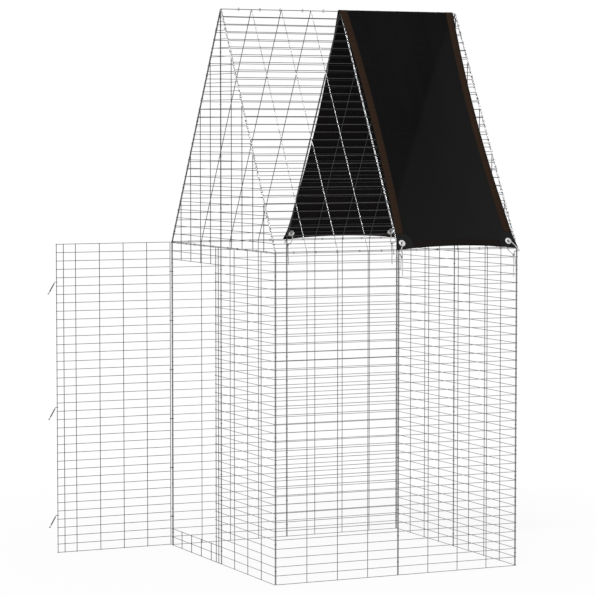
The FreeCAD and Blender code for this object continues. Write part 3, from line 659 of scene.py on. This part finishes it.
# a point of the ridge bend: share across, and angle from the upright, on a circle about the ridge that is
# flattened above its shoulders, as the sheet lies on two ridge wires
def bendPoint(across, angle, lift=0.0):
    across, angle, lift = np.broadcast_arrays(*[np.asarray(v, float) for v in (across, angle, lift)])
    radius = bendRadius + lift
    x = tarpLeft + tarp["ridgeLeft"] + across * (tarpWidth + tarp["ridgeRight"] - tarp["ridgeLeft"])
    shoulder = radius * slopeCos
    rise = shoulder + tarp["ridgeFlat"] * (radius * np.cos(angle) - shoulder)
    return np.stack([x, yMid + radius * np.sin(angle), ridgeHeight + rise], axis=-1)


# columns of the sheet up the front slope, over the bend and down the back, with their lengths along the sheet
def overRoof(across, upShares, lift=0.0):
    column = np.asarray(across, float)
    angles = np.linspace(-slope, slope, tarp["overRidge"] + 1)[1:-1]
    frontPart = slopePoint(column[None], upShares[:, None], -1, lift)
    ridgePart = bendPoint(column[None], angles[:, None], lift)
    backPart = slopePoint(column[None], upShares[::-1][:, None], 1, lift)
    points = np.concatenate([frontPart, ridgePart, backPart])
    rows = np.concatenate([upShares * tarpDrop, tarpDrop + (angles + slope) * bendRadius,
                           tarpDrop * (2 - upShares[::-1]) + 2 * bendHalf])
    return points, surfaceUv((column[None] - 0.5) * tarpWidth, rows[:, None])


# two layers of a grid, half a thickness each side, closed round the border
def slab(build, thickness, lift):
    top, uv = build(lift + thickness / 2)
    under, _ = build(lift - thickness / 2)
    rows, columns = top.shape[:2]
    faces = gridFaces(rows, columns)
    number = np.arange(rows * columns).reshape(rows, columns)
    border = np.concatenate([number[0, :-1], number[:-1, -1], number[-1, :0:-1], number[:0:-1, 0]])
    after = np.roll(border, -1)
    rim = np.stack([border, border + rows * columns, after + rows * columns, after], axis=-1)
    allFaces = np.concatenate([faces[:, ::-1], faces + rows * columns, rim[:, ::-1]])
    return np.concatenate([top.reshape(-1, 3), under.reshape(-1, 3)]), allFaces, np.concatenate([uv, uv])


upShares = np.linspace(0, 1, tarp["upSlope"])
acrossShares = np.linspace(0, 1, tarp["across"])
shape = slab(lambda lift: overRoof(acrossShares, upShares, lift), tarp["thick"], 0.0)
coverSheet = newPiece("coverSheet", *shape, "tarpCloth", "tarp")
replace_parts(coverSheet, "tarp_sheet")
print("cover sheet", len(shape[0]), "points")

# corner patches: share of the sheet across, share up the slope, and the power that rounds the inner corner
cornerPatch = {
    "across": 0.13, "up": 0.062, "edge": 0.004, "steps": 22, "power": 4, "rounding": 0.55, "thick": 0.5,
    "lift": 0.65,
}
binding = {
    "width": 5.5, "depth": 1.7, "sides": 12, "inward": 0.75, "flatness": 0.6, "radian": 3, "upSlope": 120,
    "across": 60, "sideStep": 0.01, "footStep": 0.005,
}

# brown bands sewn on along the side edges, from corner patch to corner patch
band = {"left": (0.8, 33.5), "right": (33, 4.5), "thick": 0.6, "gap": 0.05, "lines": 9, "upSlope": 150}
bandShares = np.linspace(cornerPatch["up"], 1, band["upSlope"])
bandLift = tarp["thick"] / 2 + band["gap"] + band["thick"] / 2
bandEdges = {"left": np.array(band["left"]) / tarpWidth, "right": 1 - np.array(band["right"]) / tarpWidth}
sheetPieces = []


# a piece that goes with the sheet
def sewOn(*settings):
    sheetPieces.append(newPiece(*settings))
    return sheetPieces[-1]


# the step up onto the binding, for shares across that lie within its width
def overBinding(share):
    atEdge = np.minimum(share, 1 - share) * tarpWidth < binding["width"]
    return (binding["depth"] - tarp["thick"]) / 2 * atEdge


for side, (first, last) in bandEdges.items():
    lines = np.linspace(first, last, band["lines"])
    lifts = bandLift + overBinding(lines)
    shape = slab(lambda lift: overRoof(lines, bandShares, lift), band["thick"], lifts[None])
    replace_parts(sewOn("hemBand_" + side, *shape, "hemBand", "hem"), "tarp_hem_" + side)

# foot hems, turned over both lower edges: a narrow strip shows inside and a wide one outside
slopeSides = {"front": -1, "back": 1}
footHem = {
    "span": (0.02, 0.98), "across": 80, "up": 6, "thick": 0.3, "lift": 0.18,
    "inner": {"face": -1, "reach": (3.0, 10.0), "finish": "hemBand"},
    "outer": {"face": 1, "reach": (3.0, 29.0), "finish": "footHem"},
}


# a strip of the sheet between two distances from its foot, turned to face out on either slope
def footStrip(reach, side, lift):
    shares = np.linspace(*footHem["span"], footHem["across"])[None]
    ups = np.linspace(*reach, footHem["up"])[:, None] / tarpDrop
    place, uv = slopePoint(shares, ups, side, lift), surfaceUv(shares * tarpWidth, ups * tarpDrop)
    return (place, uv) if side < 0 else (place[:, ::-1], uv[:, ::-1])


for layer in ("inner", "outer"):
    hem = footHem[layer]
    hemLift = hem["face"] * (tarp["thick"] / 2 + footHem["lift"])
    for slopeName, side in slopeSides.items():
        shape = slab(lambda lift: footStrip(hem["reach"], side, lift), footHem["thick"], hemLift)
        sewOn("footHem_" + slopeName + "_" + layer, *shape, hem["finish"], "hem")


# corner patch: the sheet's corner again, one cloth thicker, lower towards its far end by a power of the share
def patchCloth(side, atRight, lift):
    shares = np.linspace(cornerPatch["edge"], 1, cornerPatch["steps"])
    rounded = 1 - shares ** cornerPatch["power"] * cornerPatch["rounding"]
    rise = shares[:, None] * cornerPatch["up"] * rounded[None]
    across = np.broadcast_to(shares * cornerPatch["across"], rise.shape)
    place = slopePoint(1 - across if atRight else across, rise, side, lift)
    uv = surfaceUv(across * tarpWidth, rise * tarpDrop)
    return (place, uv) if (side < 0) != atRight else (place[:, ::-1], uv[:, ::-1])


patchLift = tarp["thick"] / 2 + cornerPatch["lift"]
patches = [slab(lambda lift: patchCloth(side, atRight, lift), cornerPatch["thick"], patchLift)
           for side in slopeSides.values() for atRight in (False, True)]
patchPoints, patchFaces, patchUvs = zip(*patches)
faces = np.concatenate([f + k * len(patchPoints[0]) for k, f in enumerate(patchFaces)])
uv = np.concatenate([u.reshape(-1, 2) for u in patchUvs])
sewOn("cornerPatches", np.concatenate(patchPoints), faces, uv, "patchCloth", "tarp")

# binding folded round the whole edge: a flattened ring carried along the sheet's border, its reach inwards a
# power of its cosine; each border place has a second one a step farther in
borderUp = np.linspace(0, 1, binding["upSlope"])
leftEdge, _ = overRoof(np.array([0.0, binding["sideStep"]]), borderUp)
rightEdge, _ = overRoof(np.array([1.0, 1 - binding["sideStep"]]), borderUp)
footShares = np.linspace(0, 1, binding["across"])[1:-1]
footSteps = np.array([0.0, binding["footStep"]])
frontFoot, backFoot = (slopePoint(footShares[:, None], footSteps[None], side) for side in slopeSides.values())
border = np.concatenate([leftEdge, backFoot, rightEdge[::-1], frontFoot[::-1]])
edge, inner = border[:, 0], unit(border[:, 1] - border[:, 0])
heading = unit(np.roll(edge, -1, axis=0) - np.roll(edge, 1, axis=0))
outNormal = unit(np.cross(inner, heading))
ring = ringAngles(binding["sides"])
wide, deep = binding["width"] / 2, binding["depth"] / 2
inward = wide * (binding["inward"] + np.sign(np.cos(ring)) * np.abs(np.cos(ring)) ** binding["flatness"])
outward = deep * np.sin(ring)
fold = edge[:, None] + inner[:, None] * inward[:, None] + outNormal[:, None] * outward[:, None]
uv = surfaceUv(ring[None] * binding["radian"], lengthAlong(edge)[:, None])
sewOn("edgeBinding", fold, gridFaces(len(edge), len(ring), True, True), uv, "tarpCloth", "tarp")

# stitches: short flat ovals laid end to end along each band's edges and across the foot hems
stitch = {
    "pitch": 6.0, "length": 4.2, "width": 0.8, "flat": 0.7, "sides": 6, "inset": 2.4, "lift": 0.15,
    "span": (0.004, 0.998), "samples": 400, "level": 0.7,
    "footRises": (6.0, 26.0), "footSpan": (0.14, 0.86), "footLift": 0.42, "footSamples": 300,
    "profile": [(-0.5, 0.12), (-0.32, 0.5), (0.32, 0.5), (0.5, 0.12)],  # shares of length and width
}
stitchLines = []
steps = np.linspace(cornerPatch["up"] + stitch["span"][0], stitch["span"][1], stitch["samples"])
inset = stitch["inset"] / tarpWidth
for first, last in bandEdges.values():
    for share in (first + inset, last - inset):
        lift = bandLift + band["thick"] / 2 + stitch["lift"] + overBinding(share)
        stitchLines.append(overRoof(np.array([share]), steps, lift)[0][:, 0])
footShares = np.linspace(*stitch["footSpan"], stitch["footSamples"])
for side in slopeSides.values():
    for rise in stitch["footRises"]:
        lift = tarp["thick"] / 2 + stitch["footLift"]
        stitchLines.append(slopePoint(footShares, rise / tarpDrop, side, lift))


# places a pitch apart along a line, with the line's direction there, from a millimetre before to one after
def stitchPlaces(line):
    length = lengthAlong(line)
    at = np.arange(stitch["pitch"], length[-1] - stitch["pitch"], stitch["pitch"])
    before, after = (np.stack([np.interp(at + shift, length, line[:, k]) for k in range(3)], axis=-1)
                     for shift in (-1.0, 1.0))
    return (before + after) / 2, unit(after - before)


places, headings = (np.concatenate(found) for found in zip(*[stitchPlaces(line) for line in stitchLines]))
alongFoot = np.abs(headings[:, :1]) > stitch["level"]
across = np.where(alongFoot, [0.0, slopeCos, slopeSin], [1.0, 0.0, 0.0])
across = unit(across - headings * np.sum(across * headings, axis=1, keepdims=True))
normal = np.cross(headings, across)
normal *= np.where(normal[:, 2:] < 0, -1, 1)
ring = ringAngles(stitch["sides"])
reach, girth = (np.array(stitch["profile"]) * [stitch["length"], stitch["width"]]).T
spokes = spokesAt(ring, across[:, None, None], stitch["flat"] * normal[:, None, None])
stitches = (places[:, None, None] + headings[:, None, None] * reach[:, None, None]
            + girth[:, None, None] * spokes)
faces = tubeFaces(len(reach), len(ring), len(places))
uv = np.broadcast_to(surfaceUv(ring[None], reach[:, None]), stitches.shape[:3] + (2,))
sewOn("hemStitches", stitches, faces, uv, "stitchThread", "hem")
print("bands, patches, binding and", len(places), "stitches sewn on")

# eyelets: a rolled profile turned about the line through the hole, radius and height above the sheet's middle
eyelet = {"turns": 56, "profile": [
    (5.0, -1.2), (5.0, 1.3), (5.4, 2.1), (6.3, 2.6), (7.6, 2.7), (9.4, 2.4), (11.4, 1.9), (13.2, 1.5),
    (14.1, 1.3), (14.5, 1.0), (14.3, 0.72), (12.0, 0.6), (7.2, 0.6), (6.2, 0.4), (6.2, -0.4), (7.2, -0.6),
    (12.0, -0.6), (14.3, -0.72), (14.5, -1.0), (14.1, -1.3), (12.4, -1.45), (9.0, -1.7), (6.6, -1.8),
    (5.5, -1.65)]}
profile = np.array(eyelet["profile"])
spin = ringAngles(eyelet["turns"])
for corner in ties:
    low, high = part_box("eyelet_" + corner)
    centre = np.array((low + high) / 2) / mm
    outward = -1 if corner.startswith("front") else 1
    axis = np.array([0, outward * slopeSin, slopeCos])
    upSlope = np.array([0, -outward * slopeCos, slopeSin])
    spokes = spokesAt(spin, np.array([1.0, 0, 0]), upSlope)
    turned = centre + profile[None, :, :1] * spokes[:, None] + profile[None, :, 1:] * axis
    faces = gridFaces(len(spin), len(profile), True, True)[:, ::-outward]
    piece = sewOn("eyeletRing_" + corner, turned, faces, None, "eyeletMetal", "eyelet")
    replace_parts(piece, "eyelet_" + corner)

# weld beads at the crossings: a squashed ball on each touch point of an upright and a rung
bead = {
    "across": 2.3, "up": 2.0, "deep": 1.35, "around": 8, "rings": (-78, -30, 30, 78), "vary": 0.2,
    "lowest": 0.05, "vergeGap": 6, "seed": 7,
}
rng = np.random.default_rng(bead["seed"])


# crossings of a panel in its own frame: every upright by every rung, on the touch line between them
def crossings(xs, zs):
    x, z = np.meshgrid(np.asarray(xs, float), np.asarray(zs, float))
    return np.column_stack([x.ravel(), np.full(x.size, -cage["uprightDia"] / 2), z.ravel()])


# a panel's points leaned about its foot, turned about the vertical by its yaw, and set down
def setDown(points, x, y, yaw, z=0.0, lean=0.0):
    along, deep, up = points.T
    c, s = math.cos(lean), math.sin(lean)
    deep, up = deep * c - up * s, deep * s + up * c
    c, s = math.cos(math.radians(yaw)), math.sin(math.radians(yaw))
    return np.column_stack([x + along * c - deep * s, y + along * s + deep * c, z + up])


# heights of a panel's rungs, half a rung above its foot and then a pitch apart
def rowHeights(count, pitch):
    return cage["rungDia"] / 2 + np.arange(count) * pitch


spots = {
    "front_left": (xMid - halfRun, yFront, 0), "front_right": (xMid + joint / 2, yFront, 0),
    "right_front": (xRight, yFront, 90), "right_back": (xRight, yMid + joint / 2, 90),
    "back_right": (xMid + halfRun, yBack, 180), "back_left": (xMid - joint / 2, yBack, 180),
    "left_back": (xLeft, yBack, 270), "left_front": (xLeft, yMid - joint / 2, 270),
}
rungHeights = rowHeights(cage["wallRows"] + 1, cage["rowPitch"])
roofHeights = rowHeights(cage["roofRows"] + 1, cage["roofRowPitch"])
wallColumns = np.linspace(0, panel, cage["wallColumns"] + 1)
fineColumns = np.linspace(0, panel, cage["fineColumns"] + 1)
jambEdge = panel - cage["jambWidth"]
lintelFirst = cage["wallRows"] - cage["lintelRows"]
fullRows = np.concatenate([rungHeights[:cage["sillRows"] + 1], rungHeights[lintelFirst:]])
plainWall = crossings(wallColumns, rungHeights)
doorway = np.concatenate([
    crossings([0], fullRows), crossings(fineColumns[1:-1], fullRows),
    crossings([jambEdge, panel - cage["jambWidth"] / 2, panel], rungHeights)])
steepness = math.tan(slope)
gableCount = int((panel - cage["shortestRung"]) * steepness // cage["rowPitch"]) + 1
gableRows = rowHeights(gableCount, cage["rowPitch"])
gable = crossings(fineColumns[1:], gableRows)
gable = gable[gable[:, 2] < gable[:, 0] * steepness - bead["vergeGap"]]
onVerge = np.full(len(gableRows), -cage["uprightDia"] / 2)
risingGable = np.concatenate([gable, np.column_stack([gableRows / steepness, onVerge, gableRows])])
fallingGable = risingGable * [-1, 1, 1] + [panel, 0, 0]
wallSpots, roofSpots, frontRoofSpots = [], [], []
for spot, (x, y, yaw) in spots.items():
    wallSpots.append(setDown(doorway if spot == "left_back" else plainWall, x, y, yaw))
    if spot.startswith(("front", "back")):
        slopeSpots = setDown(crossings(wallColumns, roofHeights), x, y, yaw, eaves, slope - math.pi / 2)
        (frontRoofSpots if spot.startswith("front") else roofSpots).append(slopeSpots)
    else:
        half = risingGable if spot in ("right_front", "left_back") else fallingGable
        roofSpots.append(setDown(half, x, y, yaw, eaves))
leafColumns = np.concatenate([fineColumns[:-1], [jambEdge, jambEdge + cage["doorLap"]]])
leafCrossings = crossings(leafColumns, rungHeights)
leafSpots = setDown(leafCrossings, xLeft - cage["hingeOffset"], yBack, 180, cage["doorLift"])


# beads: rings of a ball between two small end rings, stretched to the bead's three radii and grown by a
# random share; none reaches below the floor
def weldBeads(name, places, body, finish="weldMark"):
    tilt = np.radians(bead["rings"])[:, None]
    ring = ringAngles(bead["around"])
    ball = np.broadcast_arrays(np.cos(tilt) * np.cos(ring), np.cos(tilt) * np.sin(ring), np.sin(tilt))
    radii = np.array([bead["across"], bead["deep"], bead["up"]])
    grown = 1 + bead["vary"] * (rng.random((len(places), 1, 1, 1)) * 2 - 1)
    points = places[:, None, None] + np.stack(ball, axis=-1) * radii * grown
    points[..., 2] = np.maximum(points[..., 2], bead["lowest"])
    faces = tubeFaces(len(tilt), len(ring), len(places))
    newPiece(name, points, faces, None, finish, "mesh_wire", body)
    print(name, len(places), "welds")


weldBeads("wallWelds", np.concatenate(wallSpots), "run")
weldBeads("roofWelds", np.concatenate(roofSpots), "run")
# the front slope's welds take the lighter roofWeld: a painted highlight
weldBeads("frontRoofWelds", np.concatenate(frontRoofSpots), "run", "roofWeld")
weldBeads("doorWelds", leafSpots, "door")

# sleeves on the hooks' shanks: a profile of shares along the sleeve and radii, turned about the shank's line
sleeve = {
    "from": (6.2, -3.1, 0.0), "to": (33.0, -1.55, -45.0), "span": (0.12, 0.9), "eyeReach": 4.3,
    "wireRadius": 1.2, "around": 14,
    "profile": [(0, 0.65), (0, 1.3), (0.02, 2.1), (0.06, 2.5), (0.94, 2.5), (0.98, 2.1), (1, 1.3), (1, 0.65)],
}
shares, girth = np.array(sleeve["profile"]).T
shares = shares * np.diff(sleeve["span"]) + sleeve["span"][0]
spin = ringAngles(sleeve["around"])
for name in ("top", "middle", "bottom"):
    low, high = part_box("door_hook_" + name)
    eye = np.array([high.x / mm - sleeve["eyeReach"], yBack, high.z / mm - sleeve["wireRadius"]])
    ends = eye + np.array([sleeve["from"], sleeve["to"]]) * [-1, -1, 1]
    _, across, up = pathFrames(ends)
    spokes = spokesAt(spin, across[0], up[0])
    points = ends[0] + shares[:, None, None] * (ends[1] - ends[0]) + girth[:, None, None] * spokes[None]
    faces = tubeFaces(len(shares), len(spin))
    newPiece("hookSleeve_" + name, points, faces, None, "hookWire", "hook_wire", "hook_" + name)
print("hook sleeves made")

# plain pale floor: it shows white to the camera and in reflections, and keeps a soft shadow
studio = {
    "floorSize": 60.0, "floorDrop": 0.0006, "floorTone": 0.9, "floorRough": 0.9, "floorSheen": 0.1,
    "floorGlow": (0.86, 1.0), "floorBlend": (1.2, 3.2), "fill": 0.6, "white": 1.0,
    "keyWay": (-0.40, -0.55, 0.842), "keyReach": 60.0, "keySize": (26.0, 3.8), "keyPower": 21000.0,
}


# 1 for what is seen directly, in a reflection or through something clear, and 0 for light that bounces
def shownWhite(tree):
    path = addNode(tree, "ShaderNodeLightPath")
    seen = calc(tree, "ADD", path.outputs["Is Camera Ray"], path.outputs["Is Glossy Ray"], True)
    return calc(tree, "ADD", seen, path.outputs["Is Transmission Ray"], True)


floorMesh = bpy.data.meshes.new("floor")
half = studio["floorSize"] / 2
corners = [(x * half, y * half, -studio["floorDrop"]) for x, y in ((-1, -1), (1, -1), (1, 1), (-1, 1))]
floorMesh.from_pydata(corners, [], [(0, 1, 2, 3)])
floorMaterial, tree, shader = newMaterial("paleFloor")
setInputs(tree, shader, {"Base Color": (studio["floorTone"],) * 3 + (1,), "Roughness": studio["floorRough"],
                         "Specular IOR Level": studio["floorSheen"]})
glow = addNode(tree, "ShaderNodeEmission", {"Color": (1, 1, 1, 1), "Strength": studio["white"]})
away = addNode(tree, "ShaderNodeVectorMath", {0: objectPlace(tree)}, operation="LENGTH").outputs["Value"]
spread = remap(tree, away, *studio["floorGlow"], studio["floorBlend"], "SMOOTHSTEP")
share = calc(tree, "MULTIPLY", shownWhite(tree), spread)
mix = addNode(tree, "ShaderNodeMixShader", {0: share, 1: shader.outputs[0], 2: glow.outputs[0]})
tree.links.new(mix.outputs[0], tree.nodes["Material Output"].inputs["Surface"])
floorMesh.materials.append(floorMaterial)
floor = bpy.data.objects.new("floor", floorMesh)
scene.collection.objects.link(floor)

world = bpy.data.worlds.new("studio")
scene.world = world
world.use_nodes = True
tree = world.node_tree
tree.nodes.clear()
lit = addNode(tree, "ShaderNodeBackground", {"Color": (1, 1, 1, 1), "Strength": studio["fill"]})
shown = addNode(tree, "ShaderNodeBackground", {"Color": (1, 1, 1, 1), "Strength": studio["white"]})
mix = addNode(tree, "ShaderNodeMixShader", {0: shownWhite(tree), 1: lit.outputs[0], 2: shown.outputs[0]})
tree.links.new(mix.outputs[0], addNode(tree, "ShaderNodeOutputWorld").inputs["Surface"])

keyData = bpy.data.lights.new("key", "AREA")
keyData.shape = "RECTANGLE"
keyData.size, keyData.size_y = studio["keySize"]
keyData.energy = studio["keyPower"]
key = bpy.data.objects.new("key", keyData)
aim = Vector((xMid * mm, (yFront + yMid) / 2 * mm, (eaves + ridgeHeight) / 2 * mm))
way = Vector(studio["keyWay"]).normalized()
key.location = aim + way * studio["keyReach"]
rafterWay = Vector((0, slopeCos, slopeSin))
narrow = (rafterWay - way * rafterWay.dot(way)).normalized()  # the strip lies square to the front rafters
key.rotation_mode = "QUATERNION"
key.rotation_quaternion = Matrix([narrow.cross(way), narrow, way]).transposed().to_quaternion()
scene.collection.objects.link(key)
print("floor, world and key light set")
